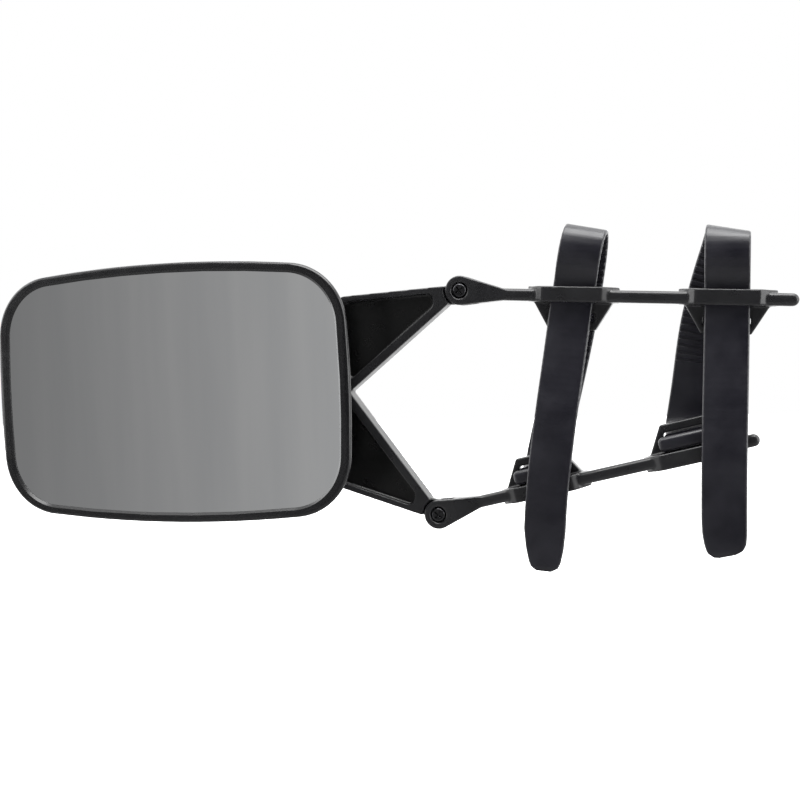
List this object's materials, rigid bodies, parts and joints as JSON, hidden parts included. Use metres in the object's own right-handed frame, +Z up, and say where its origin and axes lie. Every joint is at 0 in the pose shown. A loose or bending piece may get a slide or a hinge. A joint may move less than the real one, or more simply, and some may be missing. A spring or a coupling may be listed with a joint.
{
  "type": "towing mirror",
  "caption": "Clip-on towing mirror: rounded mirror head on a ball joint, fish-tail bracket, two hinged arms with padded feet and rubber straps that hold it on a door mirror.",
  "frame": {"origin": "middle of the upper inner foot pad, on the face that rests on the car's door mirror", "axes": "+X from the mirror head out along the arms, -Y the way the mirror glass faces (back towards the driver), +Z up"},
  "size_m": [0.4051, 0.0532, 0.1696],
  "materials": {
    "mirror": "silvered glass, ground edge",
    "foam": "thin adhesive foam",
    "shell_plastic": "black injection moulding, satin",
    "arm_plastic": "black glass-filled nylon, satin",
    "liner_plastic": "natural acetal, smooth",
    "strap_rubber": "black moulded rubber, semi-matt",
    "pad_rubber": "soft black rubber",
    "zinc_steel": "zinc plated",
    "black_steel": "black oxide"
  },
  "bodies": {
    "upper_arm": {"upper_arm": "arm_plastic", "upper_inner_pad": "pad_rubber", "upper_outer_pad": "pad_rubber", "upper_pivot_screw": "black_steel", "upper_pivot_washer": "zinc_steel", "upper_pivot_nut": "zinc_steel", "inner_strap": "strap_rubber", "outer_strap": "strap_rubber"},
    "bracket": {"bracket": "arm_plastic"},
    "lower_arm": {"lower_arm": "arm_plastic", "lower_inner_pad": "pad_rubber", "lower_outer_pad": "pad_rubber", "lower_pivot_screw": "black_steel", "lower_pivot_washer": "zinc_steel", "lower_pivot_nut": "zinc_steel"},
    "ball_stud": {"ball_stud": "zinc_steel", "stud_washer": "zinc_steel", "stud_nut": "zinc_steel"},
    "ball_liner": {"ball_liner": "liner_plastic"},
    "mirror_head": {"mirror_glass": "mirror", "glass_backing_pad": "foam", "glass_carrier": "shell_plastic", "front_bezel": "shell_plastic", "rear_housing": "shell_plastic", "housing_screws": "black_steel", "ball_socket": "arm_plastic", "socket_retainer": "arm_plastic", "retainer_screws": "zinc_steel"}
  },
  "joints": [
    {"name": "upper_hinge", "type": "hinge", "parent": "upper_arm", "child": "bracket", "pos_m": [-0.05494, -0.0105, 0.00731], "axis": [0, 1, 0], "range_deg": [-4, 10], "deforming": ["inner_strap", "outer_strap"]},
    {"name": "lower_hinge", "type": "hinge", "parent": "bracket", "child": "lower_arm", "pos_m": [-0.06947, -0.0105, -0.10455], "axis": [0, 1, 0], "range_deg": [-4, 10], "deforming": ["inner_strap", "outer_strap"]},
    {"name": "head_roll", "type": "hinge", "parent": "bracket", "child": "ball_stud", "pos_m": [-0.13489, -0.0305, -0.03918], "axis": [0, 1, 0], "range_deg": [-10, 10]},
    {"name": "head_tilt", "type": "hinge", "parent": "ball_stud", "child": "ball_liner", "pos_m": [-0.13489, -0.0305, -0.03918], "axis": [1, 0, 0], "range_deg": [-8, 8]},
    {"name": "head_pan", "type": "hinge", "parent": "ball_liner", "child": "mirror_head", "pos_m": [-0.13489, -0.0305, -0.03918], "axis": [0, 0, 1], "range_deg": [-8, 8]}
  ]
}
